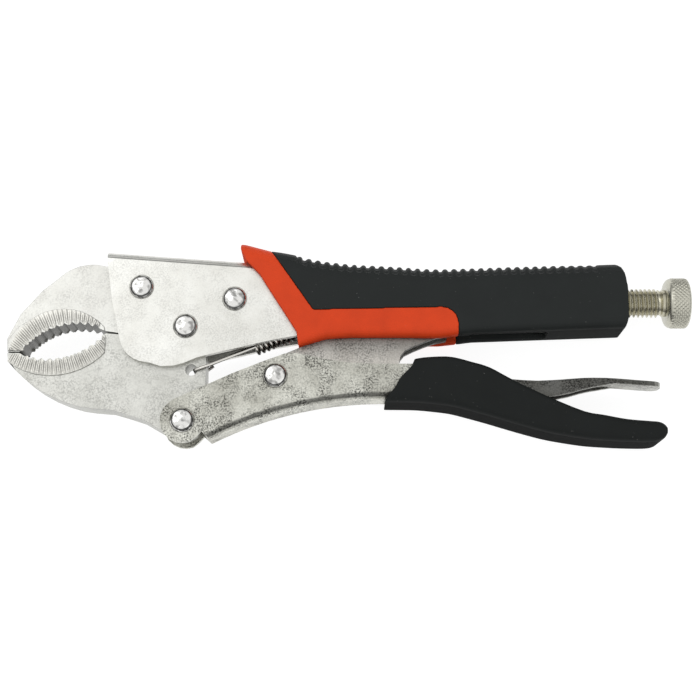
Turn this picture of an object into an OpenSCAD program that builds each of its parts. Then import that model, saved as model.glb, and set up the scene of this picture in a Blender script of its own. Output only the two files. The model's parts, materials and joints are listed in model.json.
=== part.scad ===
// Locking pliers, 250 mm size, jaws closed and locked, lying flat on one side.
// Working frame: the jaw pivot is at 0,0,0, the jaws point along -X, the adjusting
// screw along +X, and the handles' mid-plane is z = 0. place() moves every part so that
// the origin is at the middle of the tool's footprint, on the surface it lies on.

/* [Jaws] */
// Thickness of both forged jaws
jaw_t = 11; // [9:0.5:11]
// How far the ribbed lips stand out of the jaw faces
lip_h = 0.5; // [0.2:0.1:0.8]
// Spacing of the gripping teeth
tooth_pitch = 2.9; // [2:0.1:4]
// Depth of the gripping teeth
tooth_depth = 1.1; // [0.5:0.1:1.5]
// Gap between the closed jaws
jaw_gap = 0.4; // [0.3:0.1:0.8]

/* [Handles] */
// Outside width of both handle channels
channel_w = 16; // [15.5:0.5:17]
// Thickness of the handle sheet
sheet_t = 2.4; // [2:0.1:2.6]
// Outside radius of the bends in the handle sheet
bend_r = 3; // [2.5:0.1:4]
// Width of both rubber grips
grip_w = 21; // [20.5:0.5:24]
// Width of the toggle link and of the release lever
link_w = 10.4; // [8:0.2:10.6]

/* [Rivets] */
// Diameter of the domed rivet heads
rivet_head_d = 9; // [8:0.5:10]
// Height of the domed rivet heads
rivet_head_h = 2.2; // [1.5:0.1:2.4]
// Diameter of the rivet shanks
rivet_d = 6.8; // [5:0.2:7]
// Radial clearance of the parts that turn on a rivet
running_gap = 0.05; // [0.02:0.01:0.1]

/* [Adjusting screw] */
// Outside diameter of the screw thread
screw_d = 10.6; // [9:0.1:10.8]
// Pitch of the screw thread
screw_pitch = 1.6; // [1.2:0.1:2]
// Diameter of the knurled knob
knob_d = 18.5; // [16:0.5:20]
// Length of the knurled knob
knob_l = 8.6; // [8:0.2:12]

/* [Spring] */
// Outside diameter of the opening spring
spring_d = 6.2; // [5:0.1:7]
// Thickness of the spring wire
wire_d = 1.2; // [0.8:0.1:1.4]

/* [Hidden] */
$fn = 48;

// Pivots and rivets, as x and y
jaw_pivot = [0, 0];
handle_pivot = [-0.4, -34.4];
link_pivot = [32.6, -18.2];
lever_pivot = [92, -20.5];
nose = [94.3, 10.4];
front_rivet = [-16.2, 14.6];
rear_rivet = [17.6, 10.2];
spring_hole = [2.2, -15.7];
spring_anchor = [56, 6.5];

// Extremes of the closed tool, which set the origin
tip_x = -64.6;
knob_end_x = 183.4;
guard_top_y = 31.2;
grip_bottom_y = -42.4;

outer_z = channel_w / 2;
inner_z = outer_z - sheet_t;
jaw_z = jaw_t / 2;
link_z = link_w / 2;
grip_z = grip_w / 2;
rivet_r = rivet_d / 2;
bore_r = rivet_r + running_gap;
screw_r = screw_d / 2;
far = 400;

// Upper channel: its spine runs straight down to the waist and then straight to the rear
spine_front = [-29, 28.1];
spine_waist = [86, 19.5];
spine_rear_slope = 2;
spine_rear = spine_waist + 50 * [1, tan(spine_rear_slope)];
spine_front_slope = atan2(spine_waist.y - spine_front.y, spine_waist.x - spine_front.x);
// Rolled, threaded rear end of the upper channel
barrel_x0 = 124;
barrel_x1 = 158;
barrel_r = 7.6;
rubber_bore_x = 131;
grip_gap = 0.05;

// Lower channel: a long arch, then a reverse curve, then a straight tail
arch_r = 135;
arch_top = [70.6, -26.3];
arch_start_x = 9;
arch_end_x = 112;
arch_end_angle = asin((arch_end_x - arch_top.x) / arch_r);
reverse_r = 160;
reverse_end_angle = 3.5;
arch_centre = arch_top - [0, arch_r];
arch_end = arch_centre + arch_r * [sin(arch_end_angle), cos(arch_end_angle)];
reverse_centre = arch_end + reverse_r * [sin(arch_end_angle), cos(arch_end_angle)];
reverse_end = reverse_centre - reverse_r * [sin(reverse_end_angle), cos(reverse_end_angle)];
tail_l = 15;
seam = 0.3;

// Adjusting screw: the domed tip stays clear of the link nose, so that the link can swing
nose_r = 3.8;
tip_gap = 2.8;
screw_x0 = nose.x + nose_r + tip_gap;
knob_x0 = knob_end_x - knob_l;
neck_l = 1.4;
tip_l = 3.5;
stub_l = 7;
stub_r = 3.5;

// Spring: coils lie along the line from the jaw's hole to the anchor pin
wire_r = wire_d / 2;
spring_line = spring_anchor - spring_hole;
spring_length = norm(spring_line);
coil_start = 24.6;
coil_end = spring_length - 5;
coil_pitch = 1.9;
coil_steps = 10;
pin_r = 1.5;
spring_hole_r = 2.1;

// ---- helpers -------------------------------------------------------------------------

// Moves the working frame to the tool's own frame
module place() {
    translate([-(tip_x + knob_end_x) / 2, -(guard_top_y + grip_bottom_y) / 2, grip_z])
        children();
}

// Points of an arc, from angle a0 to angle a1 in n steps
function arc(centre, r, a0, a1, n) =
    [for (i = [0:n]) centre + r * [cos(a0 + (a1 - a0) * i / n), sin(a0 + (a1 - a0) * i / n)]];

// A plate of the given outline, which reaches half_t on each side of the mid-plane
module plate(outline, half_t) {
    translate([0, 0, -half_t])
        linear_extrude(2 * half_t)
            polygon(outline);
}

// A round bar across the tool
module cross_bar(at, r, half_l) {
    translate([at.x, at.y, -half_l])
        cylinder(r = r, h = 2 * half_l);
}

// A rivet with a domed head on each side of a channel
module rivet(at) {
    head_r = rivet_head_d / 2;
    sphere_r = (head_r * head_r + rivet_head_h * rivet_head_h) / (2 * rivet_head_h);
    cross_bar(at, rivet_r, outer_z + 0.2);
    for (side = [0, 1])
        mirror([0, 0, side])
            intersection() {
                translate([at.x, at.y, outer_z + rivet_head_h - sphere_r])
                    sphere(r = sphere_r);
                translate([at.x, at.y, outer_z])
                    cylinder(r = head_r + 1, h = rivet_head_h + 1);
            }
}

// Toothed edge along an arc: crests at radius r and roots at r plus depth
function toothed_arc(centre, r, depth, a0, a1) =
    let (n = round(abs(a1 - a0) * PI / 180 * r / tooth_pitch))
    [for (i = [0:n - 1]) for (half = [0, 1])
        let (a = a0 + (a1 - a0) * (i + half / 2) / n)
        centre + (r + half * depth) * [cos(a), sin(a)]];

// Solid skin over a row of rings that all have the same number of points
module loft(rings) {
    n = len(rings[0]);
    last = len(rings) - 1;
    points = [for (ring = rings) for (p = ring) p];
    sides = [for (i = [0:last - 1]) for (j = [0:n - 1]) for (half = [0, 1])
        let (a = i * n + j, b = i * n + (j + 1) % n)
        half == 0 ? [a, b, a + n] : [b, b + n, a + n]];
    front = [for (j = [n - 1:-1:0]) j];
    back = [for (j = [0:n - 1]) last * n + j];
    polyhedron(points = points, faces = concat([front], sides, [back]));
}

// One section of a grip: a rounded box across the tool at station x
function grip_ring(x, bottom, top, r_bottom, r_top) =
    let (steps = 4)
    [for (corner = [0:3]) for (i = [0:steps])
        let (r = corner < 2 ? r_top : r_bottom,
            a = 90 * corner + 90 * i / steps,
            cz = (corner == 0 || corner == 3 ? 1 : -1) * (grip_z - r),
            cy = corner < 2 ? top - r : bottom + r)
        [x, cy + r * sin(a), cz + r * cos(a)]];

// The given stations with more between them, on a curve that runs smoothly through them
function smooth(stations, steps) =
    let (last = len(stations) - 1)
    concat(
        [for (i = [0:last - 1]) for (k = [0:steps - 1])
            let (t = k / steps,
                from = stations[i],
                to = stations[i + 1],
                from_slope = (to - stations[max(i - 1, 0)]) / 2,
                to_slope = (stations[min(i + 2, last)] - from) / 2)
            (2 * t * t * t - 3 * t * t + 1) * from + (t * t * t - 2 * t * t + t) * from_slope
                + (3 * t * t - 2 * t * t * t) * to + (t * t * t - t * t) * to_slope],
        [stations[last]]);

// ---- upper handle --------------------------------------------------------------------

// U-section of a handle channel: web on top, flanges of the given depth hanging down
module channel_section(depth) {
    difference() {
        polygon(concat(
            arc([outer_z - bend_r, -bend_r], bend_r, 0, 90, 4),
            arc([bend_r - outer_z, -bend_r], bend_r, 90, 180, 4),
            [[-outer_z, -depth], [outer_z, -depth]]));
        translate([-inner_z, -depth - 1])
            square([2 * inner_z, depth + 1 - sheet_t]);
    }
}

module straight_channel(from, slope, length, depth) {
    translate([from.x, from.y, 0])
        rotate([0, 0, slope])
            rotate([0, 90, 0])
                linear_extrude(length)
                    channel_section(depth);
}

// Side view of the upper channel
upper_outline = concat(
    [spine_front, [-28.9, 24], [-26.9, 9.7], [-24.4, -1.5]],
    arc([-13.6, -3], 10.2, 190, 255, 5),
    [[-12.2, -13.6], [-8.6, -14.8], [-4, -14.6], [-0.3, -13.6], [4.4, -11.6], [7.8, -10.7],
        [24.6, -6.7], [31, -5.2], [40, -3.6], [45, -2.4], [50, 0.8],
        [spine_rear.x, 0.8], spine_rear, spine_waist]);

// Cuts the square corners of a channel's top edges back to the outside of its bends
module round_top_edges(from, slope, length) {
    corner = concat(
        [[outer_z + 1, 1], [outer_z - bend_r, 1]],
        arc([outer_z - bend_r, -bend_r], bend_r, 90, 0, 4),
        [[outer_z + 1, -bend_r]]);
    translate([from.x, from.y, 0])
        rotate([0, 0, slope])
            rotate([0, 90, 0])
                linear_extrude(length)
                    for (side = [0, 1])
                        mirror([side, 0])
                            polygon(corner);
}

module upper_handle() {
    lap = 5;
    mitre = (spine_front_slope + spine_rear_slope) / 2;
    front_dir = [cos(spine_front_slope), sin(spine_front_slope)];
    rear_dir = [cos(spine_rear_slope), sin(spine_rear_slope)];
    inside = [
        spine_front - lap * front_dir + sheet_t * [front_dir.y, -front_dir.x],
        spine_waist + sheet_t * [sin(mitre), -cos(mitre)],
        spine_rear + lap * rear_dir + sheet_t * [rear_dir.y, -rear_dir.x],
        [spine_rear.x + lap, -30],
        [spine_front.x - lap, -30]];
    color("silver")
    place() {
        difference() {
            union() {
                difference() {
                    plate(upper_outline, outer_z);
                    plate(inside, inner_z);
                    round_top_edges(spine_front - lap * front_dir, spine_front_slope,
                        norm(spine_waist - spine_front) + lap);
                    round_top_edges(spine_waist, spine_rear_slope, 60);
                }
                translate([barrel_x0, nose.y, 0])
                    rotate([0, 90, 0])
                        cylinder(r = barrel_r, h = barrel_x1 - barrel_x0);
            }
            translate([barrel_x0 - 1, nose.y, 0])
                rotate([0, 90, 0])
                    cylinder(r = screw_r + running_gap, h = barrel_x1 - barrel_x0 + 2);
            for (at = [jaw_pivot, front_rivet, rear_rivet])
                cross_bar(at, rivet_r, outer_z + 1);
            cross_bar(spring_anchor, pin_r, outer_z + 1);
        }
    }
}

// ---- jaws ----------------------------------------------------------------------------

fixed_mouth = [-39.5, -22.6];
fixed_mouth_r = 23.6;
lower_mouth = [-49.6, 14.6];
lower_mouth_r = 26.1;
boss_r = 9.2;

fixed_outline = concat(
    [[tip_x + 0.3, -9], [tip_x, -4.2], [-60.2, 4.9], [-52.4, 13.9]],
    arc([-34.5, 6.5], 17.2, 137, 84, 5),
    [[-29.2, 22.9], [-26, 24.6], [18, 21.3]],
    arc([21, 16], 5, 80, -60, 5),
    [[20.5, 4.2], [10, 3.6]],
    arc(jaw_pivot, boss_r + jaw_gap, 22, 176, 9),
    [[-12, -1.9], [-24, -2.1], [-29.5, -1.3]],
    toothed_arc(fixed_mouth, fixed_mouth_r, tooth_depth, 70, 140),
    [[-58.6, -8.3], [-60, -9]]);

// Crescent lip, which carries the teeth out past the jaw face
fixed_lip = concat(
    arc(fixed_mouth, fixed_mouth_r - 0.1, 141, 68, 8),
    [[-29.3, -1.4]],
    arc([-44.5, -13], 19.9, 42, 128, 9),
    [[-60.5, 0.2], [-64.2, -4.6], [-64, -8.6]]);

module fixed_jaw() {
    color("gainsboro")
    place()
        difference() {
            union() {
                plate(fixed_outline, jaw_z);
                intersection() {
                    plate(fixed_lip, jaw_z + lip_h);
                    plate(fixed_outline, jaw_z + lip_h + 1);
                }
            }
            for (at = [front_rivet, rear_rivet])
                cross_bar(at, rivet_r, jaw_z + 1);
        }
}

lower_outline = concat(
    [[tip_x + 0.3, -9 - jaw_gap], [tip_x + 0.6, -11.6]],
    arc([-26.4, 18.4], 48.7, 219, 257, 6),
    [[-33, -29.7], [-26, -30.3], [-20.2, -32], [-14.5, -33.9], [-8.5, -37.4]],
    arc(handle_pivot, 6.4, 215, 352, 7),
    [[7.5, -28], [7.5, -12]],
    arc(jaw_pivot, boss_r, -40, 176, 12),
    [[-12, -1.9 - jaw_gap], [-24, -2.1 - jaw_gap], [-29, -1.7 - jaw_gap]],
    toothed_arc(lower_mouth, lower_mouth_r, tooth_depth, -42, -108),
    [[-58.4, -10.4], [-60, -9 - jaw_gap]]);

lower_lip = concat(
    arc(lower_mouth, lower_mouth_r - 0.1, -109, -42, 8),
    [[-29, -3], [-29, -6.2], [-29.7, -8.8]],
    arc([-48.5, 8.8], 26.6, -47, -120, 8),
    [[-63.9, -12.6], [-64, -10]]);

module lower_jaw() {
    color("gainsboro")
    place()
        difference() {
            union() {
                plate(lower_outline, jaw_z);
                intersection() {
                    plate(lower_lip, jaw_z + lip_h);
                    plate(lower_outline, jaw_z + lip_h + 1);
                }
            }
            cross_bar(jaw_pivot, bore_r, jaw_z + 1);
            cross_bar(handle_pivot, bore_r, jaw_z + 1);
            cross_bar(spring_hole, spring_hole_r, jaw_z + 1);
        }
}

// ---- lower handle --------------------------------------------------------------------

// Side view of the lower channel's flanges, down to well below the web
lower_flange_outline = concat(
    arc(handle_pivot, 8, 290, 130, 9),
    [[-3.6, -26.8], [0.6, -24.9], [8.1, -21.5], [17.1, -17.4], [28.1, -13], [36, -10.1]],
    arc([38.6, -17.4], 7.5, 106, 79, 2),
    [[45, -10.9], [50.8, -12.2], [59.1, -13.5], [69.3, -13.9], [96, -13.8], [103, -15.8],
        [109.4, -17.9], [117, -21.8], [132, -29.2], [143, -33.8], [157, -36.8], [166, -37.6],
        [166, -60], [9.4, -60], [9.4, -41], [6.4, -38.2], [4, -40.6]]);

module arc_channel(centre, r, a0, a1, web_out) {
    // web_out is 1 where the web lies outside the bend and -1 where it lies inside
    translate([centre.x, centre.y, 0])
        rotate([0, 0, a0])
            rotate_extrude(angle = a1 - a0, $fn = 180)
                translate([r, 0])
                    rotate(web_out > 0 ? -90 : 90)
                        channel_section(34);
}

module lower_handle() {
    arch_start_angle = 90 + asin((arch_top.x - arch_start_x) / arch_r);
    color("darkgray")
    place()
        difference() {
            intersection() {
                union() {
                    arc_channel(arch_centre, arch_r, 90 - arch_end_angle, arch_start_angle + 8, -1);
                    arc_channel(reverse_centre, reverse_r, 270 - arch_end_angle - seam,
                        270 - reverse_end_angle, 1);
                    translate([reverse_end.x, reverse_end.y, 0])
                        rotate([0, 0, -reverse_end_angle])
                            rotate([180, 0, 0])
                                straight_channel([-0.5, 0], 0, tail_l + 0.5, 34);
                }
                plate(lower_flange_outline, outer_z + 1);
            }
            for (at = [handle_pivot, link_pivot])
                cross_bar(at, rivet_r, outer_z + 1);
            cross_bar(lever_pivot, lever_pin_r, outer_z + 1);
        }
}

// ---- toggle link ---------------------------------------------------------------------

link_outline = concat(
    arc(link_pivot, 5.8, 270, 150, 6),
    [[29.5, -12.9], [36.6, -9.3], [42, -7]],
    arc(nose, nose_r, 114, -40, 8),
    [[95.4, -0.6], [94.6, -3.2], [90.5, -3.9], [86.7, -5.2], [82.6, -6.9], [79.2, -8.6],
        [77.8, -10.3], [77.3, -12.4]],
    arc([76, -15.8], 1.2, 0, -100, 3));

module toggle_link() {
    web_slope = atan2(nose.y - link_pivot.y + 0.3, nose.x - link_pivot.x);
    color("silver")
    place()
        difference() {
            plate(link_outline, link_z);
            // the inside of the folded sheet, open everywhere but along the top edge
            intersection() {
                plate(link_outline, link_z - 2);
                translate([36.6, -9.3 - sheet_t, 0])
                    rotate([0, 0, web_slope - 2.6])
                        translate([-far / 2, -far, -far / 2])
                            cube(far);
            }
            cross_bar(link_pivot, bore_r, link_z + 1);
        }
}

// ---- release lever -------------------------------------------------------------------

lever_t = 1.8;
lever_pin_r = 2;
lever_tip_r = 3.4;
lever_top = [[79, -19.4], [82, -18], [88, -16.5], [94, -16.4], [104, -16.9], [117, -18.9], [122, -19.3],
    [127, -19.5], [131, -19.35], [135, -19.1], [139, -18.8], [143, -18.5], [147, -18.4], [151, -18.45],
    [155, -18.65], [159, -18.95], [163, -19.3], [167, -19.6], [171.6, -19.9]];
// Lower edge of the flanges, which run out into the plate before the tip
lever_bottom = [[155, -20.4], [150.5, -21.2], [147, -21.8], [143, -22.7], [138.8, -23.9], [135, -24.7],
    [131, -25.3], [125, -25.7], [110, -25.5], [98, -24.6]];

module release_lever() {
    last = len(lever_top) - 1;
    tip = lever_top[last].x - lever_tip_r;
    corner_z = link_z - lever_tip_r;
    spine = concat(lever_top, [for (i = [last:-1:0]) lever_top[i] - [0, lever_t]]);
    flange = concat([for (p = lever_top) if (p.x < lever_bottom[0].x) p], lever_bottom,
        arc(lever_pivot, 4.1, 300, 210, 4), [[80, -22.6]]);
    color("silver")
    place()
        difference() {
            union() {
                difference() {
                    plate(flange, link_z);
                    plate(flange, link_z - lever_t);
                }
                intersection() {
                    plate(spine, link_z);
                    // the tip's two corners are rounded
                    rotate([90, 0, 0])
                        translate([0, 0, -far / 2])
                            linear_extrude(far)
                                polygon(concat([[0, -link_z]],
                                    arc([tip, -corner_z], lever_tip_r, -90, 0, 4),
                                    arc([tip, corner_z], lever_tip_r, 0, 90, 4),
                                    [[0, link_z]]));
                }
            }
            cross_bar(lever_pivot, lever_pin_r + running_gap, link_z + 1);
        }
}

// ---- rivets and pins -----------------------------------------------------------------

module jaw_rivet_front() {
    color("whitesmoke")
    place()
        rivet(front_rivet);
}

module jaw_rivet_rear() {
    color("whitesmoke")
    place()
        rivet(rear_rivet);
}

module jaw_pivot_rivet() {
    color("whitesmoke")
    place()
        rivet(jaw_pivot);
}

module handle_pivot_rivet() {
    color("whitesmoke")
    place()
        rivet(handle_pivot);
}

module link_pivot_rivet() {
    color("whitesmoke")
    place()
        rivet(link_pivot);
}

module lever_pin() {
    color("whitesmoke")
    place()
        cross_bar(lever_pivot, lever_pin_r, outer_z);
}

module spring_anchor_pin() {
    color("whitesmoke")
    place()
        cross_bar(spring_anchor, pin_r, outer_z);
}

// ---- spring --------------------------------------------------------------------------

function unit(v) = v / norm(v);

// The part of v square to direction t, at length 1
function square_to(v, t) = unit(v - (v * t) * t);

// Round wire along a path, as rings of the given number of sides
module wire(path, r, sides) {
    last = len(path) - 1;
    tangents = [for (i = [0:last]) unit(path[min(i + 1, last)] - path[max(i - 1, 0)])];
    normals = [for (i = 0, u = square_to([0.3, 0.9, 0.1], tangents[0]); i <= last;
        i = i + 1, u = i <= last ? square_to(u, tangents[i]) : u) u];
    loft([for (i = [0:last])
        [for (j = [0:sides - 1])
            let (a = -360 * j / sides)
            path[i] + r * (cos(a) * normals[i] + sin(a) * cross(tangents[i], normals[i]))]]);
}

module opening_spring() {
    along = concat(unit(spring_line), 0);
    across = [-along.y, along.x, 0];
    from = concat(spring_hole, 0);
    anchor = concat(spring_anchor, 0);
    coil_r = spring_d / 2 - wire_r;
    eye_r = pin_r + wire_r + 0.1;
    eye_start = atan2(along.y, along.x) + 200;
    face_z = jaw_z + wire_r + 0.15;
    round = 0.5;
    hook = from + [1.3, -0.1, 0];
    bend = [8.8, -14, 0];
    free_end = [9.2, -11.8, 0];
    turns = floor((coil_end - coil_start) / coil_pitch);
    path = concat(
        // free end behind the jaw, hook through its hole, and lead over its near face
        [free_end - [0, 0, face_z], hook + [round, 0.1, -face_z], hook + [0, 0, round - face_z],
            hook + [0, 0, face_z - round], hook + [round, 0.1, face_z], bend + [0, 0, face_z]],
        // coils
        [for (i = [0:turns * coil_steps])
            from + (coil_start + i * coil_pitch / coil_steps) * along
                + coil_r * (cos(360 * i / coil_steps) * [0, 0, 1] - sin(360 * i / coil_steps) * across)],
        // tail and eye round the anchor pin
        [from + (coil_end + 0.4) * along + [0, 0, 0.8]],
        [for (a = [0:30:300]) anchor + eye_r * [cos(eye_start + a), sin(eye_start + a), 0]]);
    color("dimgray")
    place()
        wire(path, wire_r, 6);
}

// ---- adjusting screw and knob --------------------------------------------------------

module adjusting_screw() {
    length = knob_x0 - screw_x0;
    thread_end = length - neck_l - 0.05;
    turns = floor((thread_end - tip_l) / screw_pitch);
    groove = 0.85;
    // radius and distance from the tip
    profile = concat(
        arc([0, 2.4], 2.4, -90, -20, 4),
        [[3.2, 2.6], [3.6, tip_l - 0.4]],
        [for (i = [0:turns - 1]) for (p = [[screw_r - groove, 0], [screw_r, 0.35], [screw_r, 0.65]])
            [p[0], tip_l + (i + p[1]) * screw_pitch]],
        [[screw_r - groove, thread_end], [screw_r - 0.4, thread_end],
            [screw_r - 0.4, length - 0.05], [stub_r, length - 0.05],
            [stub_r, length + stub_l], [0, length + stub_l]]);
    color("lightgray")
    place()
        translate([screw_x0, nose.y, 0])
            rotate([0, 90, 0])
                rotate_extrude()
                    polygon(profile);
}

module adjusting_knob() {
    r = knob_d / 2;
    hole = stub_r + running_gap;
    profile = concat(
        [[hole, 0]],
        arc([r - 2.4, 1.8], 1.8, -90, -25, 3),
        [[r, 3.4]],
        arc([r - 2.2, knob_l - 2.2], 2.2, 0, 90, 5),
        [[0, knob_l], [0, stub_l + 0.1], [hole, stub_l + 0.1]]);
    color("lightgray")
    place()
        translate([knob_x0, nose.y, 0])
            rotate([0, 90, 0])
                rotate_extrude()
                    polygon(profile);
}

// ---- grips ---------------------------------------------------------------------------

// Stations of the upper grip: x, bottom, top, bottom radius, top radius
upper_grip_stations = [
    [19.5, -9, 31.2, 2.5, 5], [21.5, -9, 31.1, 2.5, 5.5], [30, -9, 28.9, 2.5, 6],
    [34.5, -8.8, 28.4, 2.5, 6.5], [38.7, -8.3, 27.6, 2.5, 6.5], [40.9, -7.7, 27, 2.5, 6.5],
    [43, -6.9, 26.4, 2.5, 6.5],
    [46, -6, 25.8, 2.8, 6.5], [50.6, -4.6, 25, 3, 6.5], [54, -4.3, 24.6, 3.2, 6.5],
    [60, -4, 23.9, 3.2, 6.5], [70, -4, 23.4, 3.2, 6.5], [78.4, -4, 22.9, 3.2, 6.5],
    [86, -4.2, 22.3, 3.2, 6.5], [92, -4.2, 22.1, 3.2, 6.5], [98, -3.5, 22.3, 3, 6.5],
    [104, -2.7, 22.5, 3, 6.5], [118, -2.3, 23, 3.5, 6.5], [132, -1.8, 23.4, 3.5, 6.5],
    [146, -1.3, 23.6, 3.5, 6.5], [158, -0.9, 24, 3.5, 6.5], [162, -0.7, 24.2, 3.5, 6.5]];

// Side view of the whole upper grip, which trims its sloping front and its bowed rear
upper_grip_outline = [[19.5, 32], [19.6, 28.6], [21.7, 24], [26.6, 19], [29.7, 14], [40.2, -2.5],
    [41.4, -12], [157.4, -12], [158.2, -1.6], [159.2, 0.2], [160, 3.4], [160, 14], [159.2, 19],
    [158.3, 21.5], [157.2, 23], [155.5, 24], [155, 32]];

// Side view of the red insert, with its collar in front and its skirt below
insert_outline = concat(
    [[0, 40], [30.8, 40], [30.8, 28], [33, 24.5], [46.1, 5.6], [92, 6.6]],
    arc([92.5, 0.6], 6, 85, 0, 5),
    [[98.5, -20], [0, -20]]);

module upper_grip_solid() {
    rings = [for (s = upper_grip_stations) grip_ring(s[0], s[1], s[2], s[3], s[4])];
    difference() {
        intersection() {
            loft(rings);
            plate(upper_grip_outline, grip_z + 1);
        }
        // room for the channel
        plate(
            [[0, 0.75], [138, 0.75], [138, 21.42], [86, 19.58], [15, 24.9], [0, 26]],
            outer_z + grip_gap);
        plate([[0, -20], [0, 2], [50.2, 2], [50.2, 0.7], [45.1, -2.55], [41.6, -3.4], [41, -20]],
            outer_z + grip_gap);
        // mouth below, through which the link passes
        plate([[0, -20], [rubber_bore_x, -20], [rubber_bore_x, 5], [0, 5]], inner_z);
        // threaded barrel and screw
        translate([rubber_bore_x, nose.y, 0])
            rotate([0, 90, 0]) {
                cylinder(r = barrel_r + grip_gap, h = barrel_x1 - rubber_bore_x);
                cylinder(r = screw_r + 0.5, h = 60);
            }
    }
}

module upper_grip() {
    color([0.18, 0.19, 0.19])
    place()
        difference() {
            upper_grip_solid();
            plate(insert_outline, grip_z + 2);
        }
}

module grip_insert() {
    color([0.82, 0.28, 0.14])
    place()
        intersection() {
            upper_grip_solid();
            plate(insert_outline, grip_z + 2);
        }
}

// Stations of the lower grip: x, bottom, top, bottom radius, top radius
lower_grip_stations = [
    [69, -28, -13, 3, 2], [80, -28.1, -12.6, 3, 2], [85, -28.3, -11.8, 3, 2], [90, -28.8, -11.4, 3, 2],
    [96, -29.6, -11.5, 3, 2], [103, -31.4, -13.3, 3, 2], [109.4, -33.2, -15.3, 3, 2],
    [117, -35.5, -19.5, 3, 2], [125, -37.8, -23.5, 3, 2], [132, -39.5, -26.8, 3, 2],
    [143, -41.3, -31.2, 3, 2.5], [150, -41.9, -32.4, 3, 3], [158, -42.3, -33.9, 3, 3],
    [166, -42.4, -34.6, 3, 3], [169.4, -41.9, -35, 2.8, 2.5], [171.2, -40.8, -36, 2, 2],
    [172, -39.4, -37.4, 0.8, 0.8]];

// Side view that trims the lower grip's uneven front edge
lower_grip_front = [[70.9, -50], [71.2, -28.6], [73.4, -25.2], [75.6, -22.8], [76.6, -20.6],
    [78, -18.6], [81.6, -15], [83.4, -10], [200, -10], [200, -50]];

module lower_grip() {
    rings = [for (s = smooth(lower_grip_stations, 3)) grip_ring(s[0], s[1], s[2], s[3], s[4])];
    color([0.15, 0.16, 0.16])
    place()
        difference() {
            intersection() {
                loft(rings);
                plate(lower_grip_front, grip_z + 1);
            }
            // room for the channel, which the rubber wraps to below its open side
            intersection() {
                plate([[60, -5], [60, -50], [166.1, -50], [166.1, -37.5], [157, -36.7], [143, -33.7],
                    [132, -29.1], [117, -21.7], [109.4, -17.8], [103, -15.7], [96, -13.7], [60, -13.7]],
                    outer_z + grip_gap);
                union() {
                    translate([arch_centre.x, arch_centre.y, -grip_z])
                        difference() {
                            cylinder(r = arch_r + 40, h = grip_w);
                            translate([0, 0, -1])
                                cylinder(r = arch_r - grip_gap, h = grip_w + 2, $fn = 180);
                            translate([arch_end.x - arch_centre.x, -far / 2, -1])
                                cube([far, far, grip_w + 2]);
                        }
                    translate([arch_end.x, -60, -grip_z])
                        intersection() {
                            cube([60, 60, grip_w]);
                            translate([reverse_centre.x - arch_end.x, reverse_centre.y + 60, 0])
                                cylinder(r = reverse_r + grip_gap, h = grip_w, $fn = 180);
                        }
                    translate([reverse_end.x, reverse_end.y, 0])
                        rotate([0, 0, -reverse_end_angle])
                            translate([-1, -grip_gap, -grip_z])
                                cube([tail_l + 1.5, 20, grip_w]);
                }
            }
            // slot in which the release lever swings
            plate([[60, -5], [146, -5], [146, -34.6], [132, -36], [117, -33.6], [96, -26], [60, -20]],
                inner_z);
        }
}

// ---- assembly ------------------------------------------------------------------------

upper_handle();
fixed_jaw();
lower_jaw();
lower_handle();
toggle_link();
release_lever();
jaw_rivet_front();
jaw_rivet_rear();
jaw_pivot_rivet();
handle_pivot_rivet();
link_pivot_rivet();
lever_pin();
spring_anchor_pin();
opening_spring();
adjusting_screw();
adjusting_knob();
upper_grip();
grip_insert();
lower_grip();
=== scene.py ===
import json
import math

import bmesh
import bpy
import numpy as np
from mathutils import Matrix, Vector, noise


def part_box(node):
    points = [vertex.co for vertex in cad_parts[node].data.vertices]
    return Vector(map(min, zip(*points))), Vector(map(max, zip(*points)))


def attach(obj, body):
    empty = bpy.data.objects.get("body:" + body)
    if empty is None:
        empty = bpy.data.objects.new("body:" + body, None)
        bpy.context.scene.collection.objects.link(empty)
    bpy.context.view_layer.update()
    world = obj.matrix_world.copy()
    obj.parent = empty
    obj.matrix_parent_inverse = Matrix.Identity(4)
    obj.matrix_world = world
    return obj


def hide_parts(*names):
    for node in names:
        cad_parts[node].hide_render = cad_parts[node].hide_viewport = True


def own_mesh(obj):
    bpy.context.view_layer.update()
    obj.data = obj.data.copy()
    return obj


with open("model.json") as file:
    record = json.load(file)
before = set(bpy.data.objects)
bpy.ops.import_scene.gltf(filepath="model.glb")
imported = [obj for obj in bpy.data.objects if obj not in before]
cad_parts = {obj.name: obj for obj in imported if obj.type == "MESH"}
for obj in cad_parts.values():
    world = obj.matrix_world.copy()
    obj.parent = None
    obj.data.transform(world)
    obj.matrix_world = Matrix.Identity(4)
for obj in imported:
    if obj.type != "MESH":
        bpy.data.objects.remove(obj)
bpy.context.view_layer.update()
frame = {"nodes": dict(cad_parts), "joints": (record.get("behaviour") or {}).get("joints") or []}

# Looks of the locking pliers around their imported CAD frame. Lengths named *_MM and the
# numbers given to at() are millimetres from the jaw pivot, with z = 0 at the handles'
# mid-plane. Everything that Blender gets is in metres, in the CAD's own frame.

MM = 0.001
WELD_M = 2e-6
BEVEL_SEGMENTS = 3
JOINTS = {joint["name"]: joint for joint in frame["joints"]}
JAW_PIVOT = Vector(JOINTS["jaw_hinge"]["pos_m"])
SCENE = bpy.context.scene
RIVETS = {
    "jaw_rivet_front": "upper_handle_body",
    "jaw_rivet_rear": "upper_handle_body",
    "jaw_pivot_rivet": "upper_handle_body",
    "handle_pivot_rivet": "handle_body",
    "link_pivot_rivet": "handle_body",
}


def at(x, y, z=0.0):
    """The point at these millimetres from the jaw pivot, in the row frame."""
    return JAW_PIVOT + Vector((x, y, z)) * MM


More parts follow.
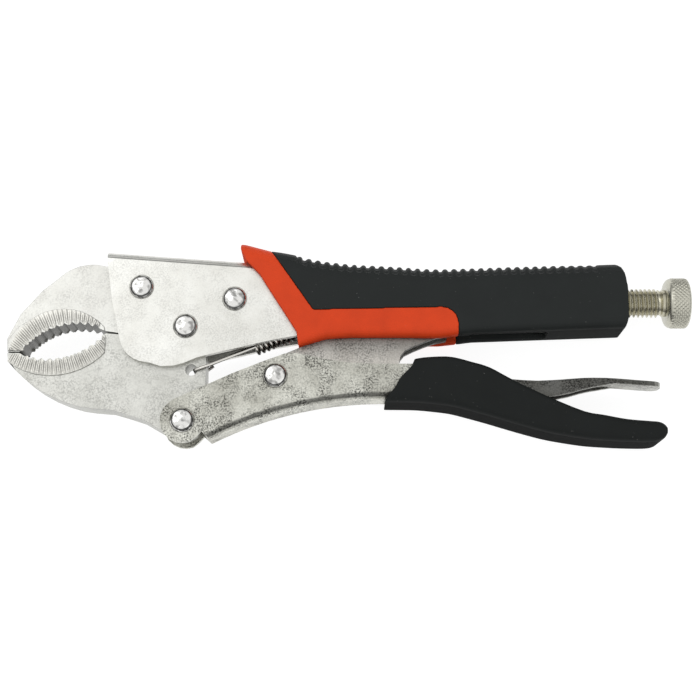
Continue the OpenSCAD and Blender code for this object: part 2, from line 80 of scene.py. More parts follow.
def local_mm(point):
    """A row-frame point in millimetres from the jaw pivot."""
    return (Vector(point) - JAW_PIVOT) / MM


def smoothstep(low, high, value):
    t = np.clip((value - low) / (high - low), 0.0, 1.0)
    return t * t * (3.0 - 2.0 * t)


# ---- meshes ---------------------------------------------------------------------------


def new_piece(name, vertices, faces, shader, body):
    """A mesh piece that rides on a CAD body and takes its finish from a material slot."""
    mesh = bpy.data.meshes.new(name)
    mesh.from_pydata([tuple(v) for v in vertices], [], faces)
    mesh.update()
    return finish_piece(name, mesh, shader, body)


def finish_piece(name, mesh, shader, body):
    bm = bmesh.new()
    bm.from_mesh(mesh)
    bmesh.ops.remove_doubles(bm, verts=bm.verts, dist=1e-7)
    bmesh.ops.recalc_face_normals(bm, faces=bm.faces)
    for face in bm.faces:
        face.smooth = True
    bm.to_mesh(mesh)
    bm.free()
    piece = bpy.data.objects.new(name, mesh)
    SCENE.collection.objects.link(piece)
    mesh.materials.clear()
    mesh.materials.append(shader.material)
    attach(piece, body)
    return piece


def sharpen(piece, degrees):
    """Marks the edges that turn by more than this angle as sharp."""
    bm = bmesh.new()
    bm.from_mesh(piece.data)
    limit = math.radians(degrees)
    for edge in bm.edges:
        edge.smooth = edge.is_manifold and edge.calc_face_angle(0.0) < limit
    bm.to_mesh(piece.data)
    bm.free()


def grid_faces(rows, columns, close_rows=False, close_columns=False):
    """Quads between the points of a rows by columns grid."""
    faces = []
    for i in range(rows if close_rows else rows - 1):
        for j in range(columns if close_columns else columns - 1):
            a, b = i * columns + j, i * columns + (j + 1) % columns
            step = ((i + 1) % rows) * columns
            faces.append((a, b, step + (j + 1) % columns, step + j))
    return faces


def lathe(profile, origin, axis, steps):
    """Points and faces of a profile of (radius, height) turned about an axis."""
    axis = Vector(axis).normalized()
    side = axis.orthogonal().normalized()
    across = axis.cross(side)
    points = []
    for radius, height in profile:
        for k in range(steps):
            a = 2.0 * math.pi * k / steps
            points.append(origin + axis * height + (side * math.cos(a) + across * math.sin(a)) * radius)
    return points, grid_faces(len(profile), steps, close_columns=True)


def tube(path, radius, sides):
    """Points and faces of round wire along a path, with closed ends."""
    path = [Vector(p) for p in path]
    last = len(path) - 1
    normal = Vector((0.31, 0.87, 0.12))
    points = []
    for i, point in enumerate(path):
        tangent = (path[min(i + 1, last)] - path[max(i - 1, 0)]).normalized()
        normal = (normal - tangent * normal.dot(tangent)).normalized()
        across = tangent.cross(normal)
        for k in range(sides):
            a = 2.0 * math.pi * k / sides
            points.append(point + (normal * math.cos(a) + across * math.sin(a)) * radius)
    faces = grid_faces(len(path), sides, close_columns=True)
    faces.append(tuple(range(sides)))
    faces.append(tuple(range(last * sides, (last + 1) * sides)))
    return points, faces


# ---- materials ------------------------------------------------------------------------


class Shader:
    """A principled material and short ways to add nodes to it."""

    def __init__(self, name, **values):
        self.material = bpy.data.materials.new(name)
        self.material.use_nodes = True
        self.tree = self.material.node_tree
        self.bsdf = self.tree.nodes["Principled BSDF"]
        for key, value in values.items():
            self.bsdf.inputs[key.replace("_", " ")].default_value = value
        place = self.tree.nodes.new("ShaderNodeTexCoord")
        self.coords = place.outputs["Object"]
        self.normal = place.outputs["Normal"]

    def add(self, kind, links=(), **settings):
        node = self.tree.nodes.new(kind)
        for key, value in settings.items():
            setattr(node, key, value)
        for socket, source in dict(links).items():
            if hasattr(source, "is_output"):
                self.tree.links.new(source, node.inputs[socket])
            else:
                node.inputs[socket].default_value = source
        return node

    def stretched(self, scale, turn=0.0):
        """Object coordinates stretched along x, y and z, for streaks."""
        node = self.add("ShaderNodeMapping", {"Vector": self.coords, "Scale": scale})
        node.inputs["Rotation"].default_value = (0.0, 0.0, turn)
        return node.outputs["Vector"]

    def noise(self, size, detail=3.0, rough=0.5, coords=None):
        """Noise whose blobs are about size metres across."""
        links = {"Vector": coords or self.coords, "Scale": 1.0 / size, "Detail": detail, "Roughness": rough}
        return self.add("ShaderNodeTexNoise", links).outputs["Fac"]

    def ramp(self, factor, *stops):
        """Colours at places from 0 to 1, each given as (place, colour or grey)."""
        node = self.add("ShaderNodeValToRGB", {"Fac": factor})
        elements = node.color_ramp.elements
        while len(elements) < len(stops):
            elements.new(0.5)
        for element, (place, colour) in zip(elements, stops):
            colour = colour if hasattr(colour, "__len__") else (colour,) * 3
            element.position = place
            element.color = (*colour, 1.0)
        return node.outputs["Color"]

    def mix(self, factor, a, b, blend="MIX"):
        node = self.add("ShaderNodeMix", data_type="RGBA", blend_type=blend)
        for socket, source in ((0, factor), (6, a), (7, b)):
            if hasattr(source, "is_output"):
                self.tree.links.new(source, node.inputs[socket])
            elif hasattr(source, "__len__"):
                node.inputs[socket].default_value = (*source, 1.0)
            else:
                node.inputs[socket].default_value = source
        return node.outputs[2]

    def tilt(self):
        """1 where the surface faces straight up or down, 0 where it stands upright."""
        split = self.add("ShaderNodeSeparateXYZ", {"Vector": self.normal})
        return self.add("ShaderNodeMath", {0: split.outputs["Z"]}, operation="ABSOLUTE").outputs[0]

    def set(self, socket, source):
        self.tree.links.new(source, self.bsdf.inputs[socket])

    def bump(self, height, depth, strength=1.0, normal=None):
        """Relief of the given depth in metres; it adds to the normal that it is given."""
        links = {"Height": height, "Distance": depth, "Strength": strength}
        if normal is not None:
            links["Normal"] = normal
        return self.add("ShaderNodeBump", links).outputs["Normal"]


def plated_steel(name, light, dark, speckle, rough, relief, edge, side, line, face=1.0,
                 line_tilts=(0.74, 0.94)):
    """Satin nickel plate over blasted sheet: speckle, cloudy patches and scuffs, with painted light and shade
    by how the surface tilts.

    edge, line, side and face are the plate's painted brightness on rounded edges, where such an
    edge meets a broad face, on upright sides and on the broad flat faces: painted shade below 1 and
    painted highlight above 1. line_tilts are the tilts between which the painted dark line lies.
    """
    shader = Shader(name, Metallic=1.0)
    grain = shader.noise(0.0006, 2.0, 0.6)
    fine = shader.noise(0.00025, 2.0, 0.5)
    cloud = shader.noise(0.012, 4.0, 0.6)
    scuffs = shader.noise(0.0012, 5.0, 0.65, shader.stretched((1.0, 7.0, 1.0), 0.5))
    base = shader.mix(shader.ramp(cloud, (0.35, 0.0), (0.7, 1.0)), dark, light)
    patches = shader.ramp(shader.noise(0.007, 3.0, 0.6), (0.40, 0.3), (0.58, 1.0))
    pits = shader.ramp(grain, (0.36, 1.0 - speckle), (0.60, 1.0))
    base = shader.mix(patches, base, shader.mix(1.0, base, pits, "MULTIPLY"))
    first, last = line_tilts
    # painted light and shade: the base colour is multiplied by a brightness picked by the surface's tilt,
    # giving painted shade on upright sides and a painted dark line along edges
    tilt_shading = shader.ramp(shader.tilt(), (0.15, side), (0.40, edge), (2.0 * first - last, edge), (first, line),
                       (last, line), (0.985, face))
    shader.set("Base Color", shader.mix(1.0, base, tilt_shading, "MULTIPLY"))
    spread = shader.ramp(scuffs, (0.3, rough - 0.05), (0.62, rough), (0.74, rough + 0.12))
    shader.set("Roughness", spread)
    coarse = shader.bump(grain, relief * MM)
    shader.set("Normal", shader.bump(fine, relief * 0.4 * MM, normal=coarse))
    return shader


def shade_by_height(shader, lit_y, shaded_y, level):
    """Paints shade onto a finish, darkening it from one height to another, both in millimetres above the jaw
    pivot.
    """
    split = shader.add("ShaderNodeSeparateXYZ", {"Vector": shader.coords})
    low, high = at(0.0, lit_y).y, at(0.0, shaded_y).y
    place = shader.add("ShaderNodeMapRange", {"Value": split.outputs["Y"], "From Min": low, "From Max": high})
    # painted shade: the base colour darkens from the lit height to the shaded height
    painted_shade = shader.ramp(place.outputs["Result"], (0.0, 1.0), (1.0, level))
    unshaded = shader.bsdf.inputs["Base Color"].links[0].from_socket
    shader.set("Base Color", shader.mix(1.0, unshaded, painted_shade, "MULTIPLY"))
    return shader


def polished_steel(name, colour, rough, dent, *tilts):
    """Bright nickel plate with shallow dents and a fine haze, painted shade in the dents, and painted light
    and shade by how it tilts.
    """
    shader = Shader(name, Metallic=1.0)
    haze = shader.noise(0.0006, 4.0, 0.6)
    base = shader.mix(haze, [c * 0.86 for c in colour], colour)
    if tilts:
        # painted light and shade: the base colour is multiplied by a brightness picked by the surface's tilt
        base = shader.mix(1.0, base, shader.ramp(shader.tilt(), *tilts), "MULTIPLY")
    blows = shader.noise(0.0018, 1.0, 0.4)
    # painted shade in the dents: the base colour darkens where the noise that sinks the dents is low
    base = shader.mix(1.0, base, shader.ramp(blows, (0.34, 1.0 - 2.6 * dent), (0.52, 1.0)), "MULTIPLY")
    shader.set("Base Color", base)
    shader.set("Roughness", shader.ramp(haze, (0.3, rough), (0.75, rough + 0.12)))
    dents = shader.bump(blows, dent * MM)
    shader.set("Normal", shader.bump(shader.noise(0.0003), 0.006 * MM, normal=dents))
    return shader


def moulded_rubber(name, colour, rough, specular, relief, dust, side):
    """Moulded rubber: fine matt grain, faint cloudy bloom, a few specks of dust, and painted shade on upright
    sides.
    """
    shader = Shader(name, Specular_IOR_Level=specular)
    grain = shader.noise(0.00035, 3.0, 0.6)
    bloom = shader.noise(0.009, 4.0, 0.6)
    specks = shader.noise(0.0007, 2.0, 0.5)
    base = shader.mix(bloom, [c * 0.8 for c in colour], [c * 1.25 for c in colour])
    base = shader.mix(shader.ramp(grain, (0.3, 0.0), (0.75, 0.35)), base, [c * 0.6 for c in colour])
    marks = shader.ramp(specks, (0.735, 0.0), (0.78, dust))
    base = shader.mix(marks, base, (0.35, 0.35, 0.33))
    # painted shade: upright sides are darkened to side
    shade = shader.ramp(shader.tilt(), (0.05, side), (0.45, 1.0))
    shader.set("Base Color", shader.mix(1.0, base, shade, "MULTIPLY"))
    dull = shader.ramp(shader.tilt(), (0.05, 0.95), (0.5, 0.0))
    gloss = shader.ramp(bloom, (0.3, rough), (0.75, rough + 0.1))
    shader.set("Roughness", shader.mix(1.0, gloss, dull, "LIGHTEN"))
    waves = shader.bump(shader.noise(0.006, 2.0), 0.05 * MM)
    shader.set("Normal", shader.bump(grain, relief * MM, normal=waves))
    return shader


def floor_material():
    """A lit white table: part of its light is its own, so shadows on it stay faint."""
    shader = Shader("studio_floor", Roughness=0.8, Specular_IOR_Level=0.0, Emission_Strength=0.90)
    tone = shader.noise(0.05, 3.0)
    shader.set("Base Color", shader.mix(tone, (0.24, 0.24, 0.24), (0.26, 0.26, 0.26)))
    shader.set("Emission Color", shader.mix(tone, (0.98, 0.98, 0.98), (1.0, 1.0, 1.0)))
    return shader


# The edge, side, line and face values of these finishes are painted light and shade by tilt.
PLATE = plated_steel("upper_plate", light=(0.86, 0.86, 0.82), dark=(0.74, 0.735, 0.69), speckle=0.20,
                     rough=0.40, relief=0.02, edge=0.95, side=0.9, line=0.35, line_tilts=(0.955, 0.975))
GRAINY = plated_steel("blasted_plate", light=(0.76, 0.76, 0.69), dark=(0.48, 0.475, 0.42), speckle=0.85,
                      rough=0.44, relief=0.05, edge=0.85, side=1.1, line=0.35)
# painted shade: the link darkens towards the grip insert above it, in the insert's shade
LINK = shade_by_height(plated_steel("link_plate", light=(0.76, 0.74, 0.69), dark=(0.60, 0.575, 0.53), speckle=0.6,
                           rough=0.44, relief=0.05, edge=0.6, side=0.3, line=0.35),
              lit_y=-13.0, shaded_y=-6.0, level=0.45)
# painted shade: the lever's broad faces are darkened to 0.22; painted highlight: its rounded edges are
# brightened to 1.15
LEVER = plated_steel("lever_plate", light=(0.76, 0.76, 0.72), dark=(0.46, 0.455, 0.41), speckle=0.9,
                     rough=0.42, relief=0.06, edge=1.15, side=0.9, face=0.22, line=0.6)
FORGED = plated_steel("fixed_forging", light=(0.77, 0.77, 0.73), dark=(0.68, 0.675, 0.635), speckle=0.22,
                      rough=0.42, relief=0.03, edge=0.32, side=0.22, line=0.32)
DROPPED = plated_steel("lower_forging", light=(0.70, 0.70, 0.66), dark=(0.58, 0.58, 0.54), speckle=0.34,
                       rough=0.42, relief=0.03, edge=0.36, side=0.8, line=0.36)
RIBBED = plated_steel("ribbed_lip", light=(0.76, 0.75, 0.70), dark=(0.62, 0.61, 0.56), speckle=0.3,
                      rough=0.36, relief=0.03, edge=0.40, side=0.3, line=0.5)
# painted shade: a dark outline at the rivet's upright rim and a dark ring where its dome meets the skirt
RIVET_TILT_SHADING = ((0.0, 0.5), (0.3, 0.4), (0.5, 1.0), (0.70, 1.0), (0.76, 0.2), (0.85, 0.2), (0.91, 1.0))
RIVET = polished_steel("rivet_nickel", (0.88, 0.875, 0.85), 0.09, 0.22, *RIVET_TILT_SHADING)
PIN = polished_steel("pin_nickel", (0.80, 0.79, 0.76), 0.2, 0.03)
THREAD = polished_steel("thread_nickel", (0.60, 0.575, 0.46), 0.22, 0.02)
KNURL = polished_steel("knurl_nickel", (0.58, 0.57, 0.49), 0.24, 0.02)
# painted shade: the wire darkens at its upright sides
WIRE = polished_steel("spring_wire", (0.78, 0.76, 0.71), 0.25, 0.01, (0.3, 0.2), (0.8, 1.0))
BLACK = moulded_rubber("black_rubber", (0.020, 0.023, 0.0225), rough=0.5, specular=0.14, relief=0.02,
                       dust=0.4, side=0.5)
DARK = moulded_rubber("lower_rubber", (0.016, 0.018, 0.0175), rough=0.5, specular=0.08, relief=0.02,
                      dust=0.5, side=0.4)
RED = moulded_rubber("red_insert", (0.74, 0.062, 0.012), rough=0.45, specular=0.16, relief=0.012,
                     dust=0.15, side=0.9)


# ---- sheet metal and jaws: the CAD nodes, with their edges broken ----------------------


def break_edges(node, width, shader):
    """Rounds a CAD node's edges and gives it its finish, leaving its mesh as it is."""
    part = frame["nodes"][node]
    part.data.materials.clear()
    part.data.materials.append(shader.material)
    weld = part.modifiers.new("weld", "WELD")
    weld.merge_threshold = WELD_M
    flat = part.modifiers.new("flat", "DECIMATE")
    flat.decimate_type = "DISSOLVE"
    flat.angle_limit = math.radians(0.6)
    bevel = part.modifiers.new("edges", "BEVEL")
    bevel.width = width * MM
    bevel.segments = BEVEL_SEGMENTS
    bevel.limit_method = "ANGLE"
    bevel.angle_limit = math.radians(40)
    bevel.miter_outer = "MITER_ARC"
    normals = part.modifiers.new("normals", "WEIGHTED_NORMAL")
    normals.weight = 80


break_edges("upper_handle", 1.0, PLATE)
break_edges("lower_handle", 0.55, GRAINY)
break_edges("toggle_link", 0.4, LINK)
break_edges("release_lever", 0.5, LEVER)
break_edges("fixed_jaw", 0.4, FORGED)
break_edges("lower_jaw", 0.4, DROPPED)
break_edges("lever_pin", 0.3, PIN)
break_edges("spring_anchor_pin", 0.3, PIN)


# ---- rivets ---------------------------------------------------------------------------


def rivet_head_profile(radius, height):
    """A sloping skirt with a low dome on it, from the seat to the top."""
    dome_r = 0.74 * radius
    foot = 0.68 * height
    rise = height - foot
    ball = (dome_r * dome_r + rise * rise) / (2.0 * rise)
    slope = math.asin(dome_r / ball)
    points = [(radius, -0.05 * height), (radius, 0.1 * height), (0.96 * radius, 0.22 * height),
              (0.82 * radius, 0.60 * height), (dome_r, foot)]
    for k in range(1, 17):
        a = slope * (1.0 - k / 16)
        points.append((ball * math.sin(a), height - ball * (1.0 - math.cos(a))))
    return points


def hammered(point, middle, radius, height):
    """Sinks a point of a rivet's dome into the shallow dents that the hammer left."""
    away = Vector((point.x - middle.x, point.y - middle.y)).length
    reach = 1.0 - float(smoothstep(0.5 * radius, 0.7 * radius, away))
    dent = 0.5 + 0.5 * noise.noise(point / (1.7 * MM))
    side = 1.0 if point.z > middle.z else -1.0
    return point - Vector((0.0, 0.0, side * 0.11 * height * dent * reach))


def make_rivet(node, body, plate):
    low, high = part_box(node)
    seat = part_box(plate)[1].z
    middle = (low + high) / 2
    radius = (high.x - low.x) / 2
    height = high.z - seat
    half = seat - middle.z
    shank_r = radius * 0.72
    points, faces = [], []
    for side in (1.0, -1.0):
        profile = [(r, half + h) for r, h in rivet_head_profile(radius, height)]
        part_points, part_faces = lathe(profile, middle, (0, 0, side), 56)
        faces += [tuple(i + len(points) for i in face) for face in part_faces]
        points += [hammered(p, middle, radius, height) for p in part_points]
    part_points, part_faces = lathe([(shank_r, -half), (shank_r, half)], middle, (0, 0, 1), 40)
    faces += [tuple(i + len(points) for i in face) for face in part_faces]
    points += part_points
    piece = new_piece(node + "_head", points, faces, RIVET, body)
    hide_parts(node)


for rivet_node, rivet_body in RIVETS.items():
    plate_node = "upper_handle" if rivet_body == "upper_handle_body" else "lower_handle"
    make_rivet(rivet_node, rivet_body, plate_node)


# ---- opening spring -------------------------------------------------------------------


def make_spring():
    """Hook through the jaw, lead wire, coils and the eye round the anchor pin."""
    wire_r, coil_r, pitch, steps = 0.6, 2.5, 1.9, 24
    anchor = local_mm((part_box("spring_anchor_pin")[0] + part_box("spring_anchor_pin")[1]) / 2)
    hole = Vector((2.2, -15.7, 0.0))
    line = anchor - hole
    along = line.normalized()
    across = Vector((-along.y, along.x, 0.0))
    face_z, corner = 6.25, 0.5
    bend = Vector((8.8, -14.0, 0.0))
    free_end = Vector((9.2, -11.8, 0.0))
    hook = hole + Vector((1.3, -0.1, 0.0))
    start, end = 24.6, line.length - 5.0
    up = Vector((0.0, 0.0, 1.0))
    path = [
        free_end - Vector((0.0, 0.0, face_z)), hook + Vector((corner, 0.1, -face_z)),
        hook + up * (corner - face_z), hook + up * (face_z - corner),
        hook + Vector((corner, 0.1, face_z)), bend + up * face_z,
    ]
    turns = math.floor((end - start) / pitch)
    for i in range(turns * steps + 1):
        a = 2.0 * math.pi * i / steps
        offset = up * math.cos(a) - across * math.sin(a)
        path.append(hole + along * (start + i * pitch / steps) + offset * coil_r)
    path.append(hole + along * (end + 0.4) + up * 0.8)
    eye_r, eye_start = 2.2, 200
    first = math.atan2(along.y, along.x) + math.radians(eye_start)
    for k in range(31):
        a = first + math.radians(10 * k)
        path.append(anchor + Vector((math.cos(a), math.sin(a), 0.0)) * eye_r)
    points, faces = tube([at(*p) for p in path], wire_r * MM, 12)
    spring = new_piece("spring_coils", points, faces, WIRE, "upper_handle_body")
    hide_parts("opening_spring")
    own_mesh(spring)


make_spring()


# ---- adjusting screw and knob ----------------------------------------------------------


def make_screw():
    """A right-hand thread from the rounded tip to the plain neck under the knob."""
    low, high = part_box("adjusting_screw")
    knob_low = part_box("adjusting_knob")[0]
    radius = (high.y - low.y) / 2
    axis = Vector((0.0, (low.y + high.y) / 2, (low.z + high.z) / 2))
    pitch, depth, steps = 1.6 * MM, 0.95 * MM, 40
    first, last = low.x + 3.5 * MM, knob_low.x - 1.4 * MM
    ridge = ((0.0, 0.0), (0.12, 0.0), (0.46, 1.0), (0.55, 1.0), (0.88, 0.0), (1.0, 0.0))
    turns = int((last - first) / pitch) + 1
    points = []
    for i in range(turns * steps + 1):
        a = 2.0 * math.pi * i / steps
        for share, rise in ridge:
            x = min(max(first + (i / steps + share - 1.0) * pitch, first), last)
            run_in = smoothstep(0.0, pitch, x - first)
            run_out = smoothstep(0.0, pitch, last - x)
            r = radius - depth + depth * rise * float(run_in * run_out)
            points.append((x, axis.y + r * math.cos(a), axis.z + r * math.sin(a)))
    faces = grid_faces(turns * steps + 1, len(ridge))
    core = radius - depth
    tip = [(core * math.sin(math.radians(a)), 2.4 * MM * (1 - math.cos(math.radians(a))))
           for a in range(0, 91, 15)]
    neck = radius - 0.4 * MM
    stub = 3.5 * MM
    profile = tip + [(core, last - low.x), (neck, last - low.x + 0.25 * MM),
                     (neck, knob_low.x - low.x - 0.1 * MM), (stub, knob_low.x - low.x),
                     (stub, high.x - low.x), (0.0, high.x - low.x)]
    core_points, core_faces = lathe(profile, Vector((low.x, axis.y, axis.z)), (1, 0, 0), 40)
    faces += [tuple(i + len(points) for i in face) for face in core_faces]
    points += core_points
    screw = new_piece("screw_thread", points, faces, THREAD, "screw_body")
    sharpen(screw, 50)
    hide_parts("adjusting_screw")


def make_knob():
    """Rounded collar, a band of diamond knurling, and a slightly crowned end face."""
    low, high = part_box("adjusting_knob")
    centre = (low + high) / 2
    radius = (high.y - low.y) / 2
    length = high.x - low.x
    around = 38
    cell = 2.0 * math.pi * radius / around
    band_start, band_end = 2.1 * MM, length - 1.5 * MM
    collar_r, rim_r = 2.6 * MM, 2.0 * MM
    depth = 0.34 * MM
    steps = around * 8
    stations = []
    for a in range(0, 91, 15):
        t = math.radians(a)
        collar = radius - collar_r * (1 - math.sin(t)) - 0.15 * MM
        stations.append((collar_r * (1 - math.cos(t)) * 0.8, collar))
    count = int((band_end - band_start) / (cell / 8))
    stations += [(band_start + (band_end - band_start) * k / count, radius) for k in range(1, count)]
    for a in range(0, 91, 10):
        t = math.radians(a)
        stations.append((length - rim_r * (1 - math.sin(t)) * 0.75, radius - rim_r * (1 - math.cos(t))))
    stations.sort()
    points = []
    for x, r in stations:
        fade = float(smoothstep(1.3 * MM, 2.4 * MM, x) * smoothstep(0.3 * MM, 1.6 * MM, length - x))
        for k in range(steps):
            a = 2.0 * math.pi * k / steps
            u = (radius * a + x) / cell
            v = (radius * a - x) / cell
            rise = min(1.0 - abs(2.0 * (u % 1.0) - 1.0), 1.0 - abs(2.0 * (v % 1.0) - 1.0))
            rr = r - depth * fade * (1.0 - min(1.0, rise * 1.5))
            points.append((low.x + x, centre.y + rr * math.cos(a), centre.z + rr * math.sin(a)))
    faces = grid_faces(len(stations), steps, close_columns=True)
    front_r, back_r = stations[0][1], stations[-1][1]
    front = [(front_r, 0.0), (front_r * 0.55, 0.0), (4.0 * MM, 0.0), (3.6 * MM, 0.4 * MM), (0.0, 0.4 * MM)]
    back = [(back_r, length), (back_r * 0.97, length - 0.03 * MM), (back_r * 0.6, length - 0.02 * MM),
            (back_r * 0.2, length), (0.0, length)]
    origin = Vector((low.x, centre.y, centre.z))
    for profile in (front, back):
        more_points, more_faces = lathe(profile, origin, (1, 0, 0), 96)
        faces += [tuple(i + len(points) for i in face) for face in more_faces]
        points += more_points
    knob = new_piece("knurled_knob", points, faces, KNURL, "knob_body")
    sharpen(knob, 70)
    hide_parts("adjusting_knob")


make_screw()
make_knob()


# ---- grips ----------------------------------------------------------------------------


def remeshed(node, voxel, passes):
    """A fine even mesh of a CAD node with its edges softened."""
    mesh = frame["nodes"][node].data.copy()
    bm = bmesh.new()
    bm.from_mesh(mesh)
    bmesh.ops.remove_doubles(bm, verts=bm.verts, dist=WELD_M)
    bm.to_mesh(mesh)
    bm.free()
    rough = bpy.data.objects.new(node + "_rough", mesh)
    SCENE.collection.objects.link(rough)
    remesh = rough.modifiers.new("remesh", "REMESH")
    remesh.mode = "VOXEL"
    remesh.voxel_size = voxel
    soften = rough.modifiers.new("soften", "SMOOTH")
    soften.factor = 0.5
    soften.iterations = passes
    graph = bpy.context.evaluated_depsgraph_get()
    result = bpy.data.meshes.new_from_object(rough.evaluated_get(graph))
    bpy.data.objects.remove(rough)
    return result


def arrays(mesh):
    """A mesh's points in millimetres from the jaw pivot, and its normals."""
    count = len(mesh.vertices)
    points = np.zeros(count * 3)
    normals = np.zeros(count * 3)
    mesh.vertices.foreach_get("co", points)
    mesh.vertices.foreach_get("normal", normals)
    points = (points.reshape(-1, 3) - np.array(JAW_PIVOT)) / MM
    return points, normals.reshape(-1, 3)


def store(mesh, points):
    rows = points * MM + np.array(JAW_PIVOT)
    mesh.vertices.foreach_set("co", rows.astype(np.float32).ravel())
    mesh.update()


RIB_PITCH_MM = 3.3
RIB_WIDTH_MM = 2.1
RIB_DEPTH_MM = 0.95
RIB_RANGE_MM = (40.0, 150.0)


def rib_grooves(points, normals):
    """How deep each point lies in the grooves between the ribs on top of the upper grip."""
    x = points[:, 0]
    u = np.abs((x / RIB_PITCH_MM) % 1.0 - 0.5) * RIB_PITCH_MM
    crest = np.sqrt(np.clip(1.0 - (u / (RIB_WIDTH_MM / 2)) ** 2, 0.0, 1.0))
    run = smoothstep(RIB_RANGE_MM[0] - 0.4, RIB_RANGE_MM[0] + 0.4, x)
    run = run * (1.0 - smoothstep(RIB_RANGE_MM[1] - 26.0, RIB_RANGE_MM[1], x) * 0.5)
    run = run * (1.0 - smoothstep(RIB_RANGE_MM[1] - 0.4, RIB_RANGE_MM[1] + 0.4, x))
    wrap = smoothstep(0.12, 0.75, normals[:, 1])
    above = smoothstep(11.0, 14.0, points[:, 1])
    return RIB_DEPTH_MM * (1.0 - crest) * run * wrap * above


def make_grip(node, name, shader, body, ribs=False):
    mesh = remeshed(node, 0.42 * MM, 3)
    points, normals = arrays(mesh)
    if ribs:
        points = points - normals * rib_grooves(points, normals)[:, None]
    store(mesh, points)
    piece = finish_piece(name, mesh, shader, body)
    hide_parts(node)


make_grip("upper_grip", "upper_grip_rubber", BLACK, "upper_handle_body", ribs=True)
make_grip("grip_insert", "grip_insert_rubber", RED, "upper_handle_body")
make_grip("lower_grip", "lower_grip_rubber", DARK, "handle_body")


# ---- ribbed lips of the jaws ------------------------------------------------------------


TOOTH_DEPTH_MM = 1.1


def lip_ribs(name, centre, crest_r, root_depth, span, tip_edge, heel, outer, body, jaw_node):
    """Fine ribs across the raised lip, from the teeth to the lip's outer edge.

    crest_r is the radius of the teeth's crests about centre, and span the angles in degrees
    between which the ribs run. tip_edge is how far the straight edge at the jaw's tip lies
    from the centre along y, and heel how far the lip's rear end lies from it along x. outer
    is the centre and radius of the lip's outer edge.
    """
    face_z = local_mm(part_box(jaw_node)[1]).z
    rib_pitch, rise = 1.35, 0.22
    first, last = span
    length = math.radians(abs(last - first)) * crest_r
    ribs = round(length / rib_pitch)
    per_rib, across = 8, 8
    outer_centre, outer_r = outer
    rows = []
    for i in range(ribs * per_rib + 1):
        share = i / (ribs * per_rib)
        a = math.radians(first + (last - first) * share)
        ray = Vector((math.cos(a), math.sin(a)))
        gap = Vector(centre) - Vector(outer_centre)
        b = gap.dot(ray)
        reach = -b + math.sqrt(max(b * b - gap.length_squared + outer_r * outer_r, 0.0))
        if ray.x > 0.0:
            reach = min(reach, heel / ray.x)
        tooth = 0.5 - 0.5 * math.cos(2.0 * math.pi * share * ribs / 2)
        inner = crest_r + root_depth * tooth + 0.1
        if ray.x < 0.0:
            inner = max(inner, tip_edge / abs(ray.y))
        inner = min(inner, reach - 0.4)
        wave = math.sin(math.pi * share * ribs) ** 2
        row = []
        for j in range(across + 1):
            t = j / across
            r = inner + (reach - 0.15 - inner) * t
            shoulder = math.sin(math.pi * min(max(t, 0.02), 0.98)) ** 0.35
            z = face_z - 0.06 + (0.08 + rise * wave) * shoulder
            row.append(at(centre[0] + r * ray.x, centre[1] + r * ray.y, z))
        rows.append(row)
    points = [p for row in rows for p in row]
    faces = grid_faces(len(rows), across + 1)
    flipped = [Vector((p.x, p.y, 2 * JAW_PIVOT.z - p.z)) for p in points]
    faces += [tuple(i + len(points) for i in reversed(face)) for face in grid_faces(len(rows), across + 1)]
    new_piece(name, points + flipped, faces, RIBBED, body)


lip_ribs("fixed_lip_ribs", centre=(-39.5, -22.6), crest_r=23.6, root_depth=TOOTH_DEPTH_MM,
         span=(150.0, 70.0), tip_edge=14.0, heel=10.0, outer=((-44.5, -13.0), 19.9),
         body="upper_handle_body", jaw_node="fixed_jaw")
lip_ribs("lower_lip_ribs", centre=(-49.6, 14.6), crest_r=26.1, root_depth=TOOTH_DEPTH_MM,
         span=(-118.0, -42.0), tip_edge=24.3, heel=20.5, outer=((-48.5, 8.8), 26.6),
         body="jaw_body", jaw_node="lower_jaw")


# ---- studio ---------------------------------------------------------------------------

VIEW_DISTANCE = 0.550
VIEW_ELEVATION = math.radians(77.5)
VIEW_CENTRE = Vector((0.00002, -0.0015, 0.0105))
LENS_MM = 77.5
SENSOR_MM = 36.0


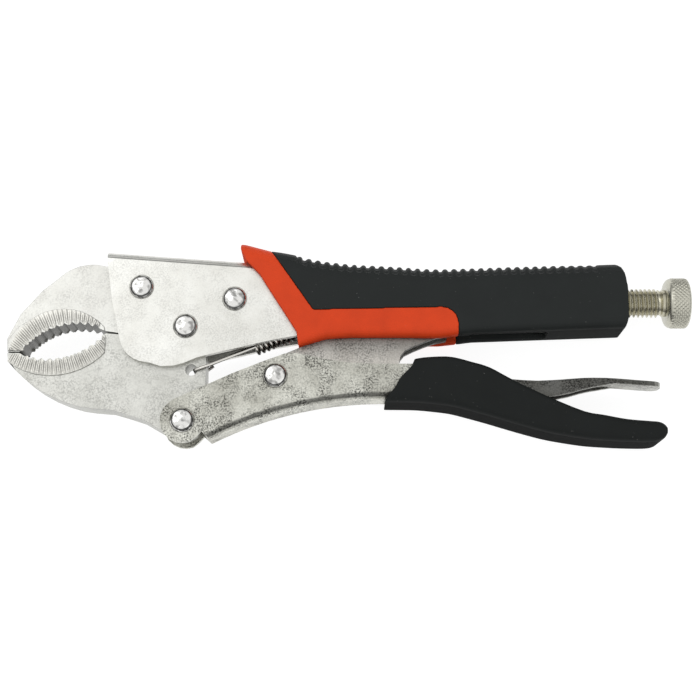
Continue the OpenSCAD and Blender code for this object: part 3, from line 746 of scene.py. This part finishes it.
def make_floor():
    mesh = bpy.data.meshes.new("floor")
    half = 1.6
    corners = [(-half, -half, 0), (half, -half, 0), (half, half, 0), (-half, half, 0)]
    mesh.from_pydata(corners, [], [(0, 1, 2, 3)])
    mesh.materials.append(floor_material().material)
    floor = bpy.data.objects.new("floor", mesh)
    SCENE.collection.objects.link(floor)


def add_area(name, place, size, power, target=(0.0, 0.0, 0.01)):
    lamp = bpy.data.lights.new(name, "AREA")
    lamp.shape = "RECTANGLE"
    lamp.size, lamp.size_y = size
    lamp.energy = power
    holder = bpy.data.objects.new(name, lamp)
    holder.location = place
    holder.rotation_euler = (Vector(target) - Vector(place)).to_track_quat("-Z", "Y").to_euler()
    SCENE.collection.objects.link(holder)


def make_world():
    """White from above, dark towards the horizon, as under a hanging soft box."""
    world = bpy.data.worlds.new("studio")
    world.use_nodes = True
    tree = world.node_tree
    coords = tree.nodes.new("ShaderNodeTexCoord").outputs["Generated"]
    split = tree.nodes.new("ShaderNodeSeparateXYZ")
    tree.links.new(coords, split.inputs[0])
    ramp = tree.nodes.new("ShaderNodeValToRGB")
    tree.links.new(split.outputs["Z"], ramp.inputs["Fac"])
    elements = ramp.color_ramp.elements
    levels = ((0.0, 0.03), (0.14, 0.06), (0.30, 0.50), (0.5, 0.80), (0.85, 1.0))
    while len(elements) < len(levels):
        elements.new(0.5)
    for element, (place, level) in zip(elements, levels):
        element.position, element.color = place, (level, level, level, 1.0)
    back = tree.nodes["Background"]
    tree.links.new(ramp.outputs["Color"], back.inputs["Color"])
    back.inputs["Strength"].default_value = 0.95
    SCENE.world = world


def make_camera():
    data = bpy.data.cameras.new("camera")
    data.lens = LENS_MM
    data.sensor_width = SENSOR_MM
    camera = bpy.data.objects.new("camera", data)
    away = Vector((0.0, -math.cos(VIEW_ELEVATION), math.sin(VIEW_ELEVATION)))
    camera.location = VIEW_CENTRE + away * VIEW_DISTANCE
    camera.rotation_euler = (-away).to_track_quat("-Z", "Y").to_euler()
    SCENE.collection.objects.link(camera)
    SCENE.camera = camera


make_floor()
make_world()
make_camera()
add_area("key", (-0.5, 0.35, 0.9), (0.7, 0.5), 1.2)
add_area("fill", (0.6, -0.5, 0.8), (0.8, 0.6), 0.4)
SCENE.view_settings.view_transform = "Standard"
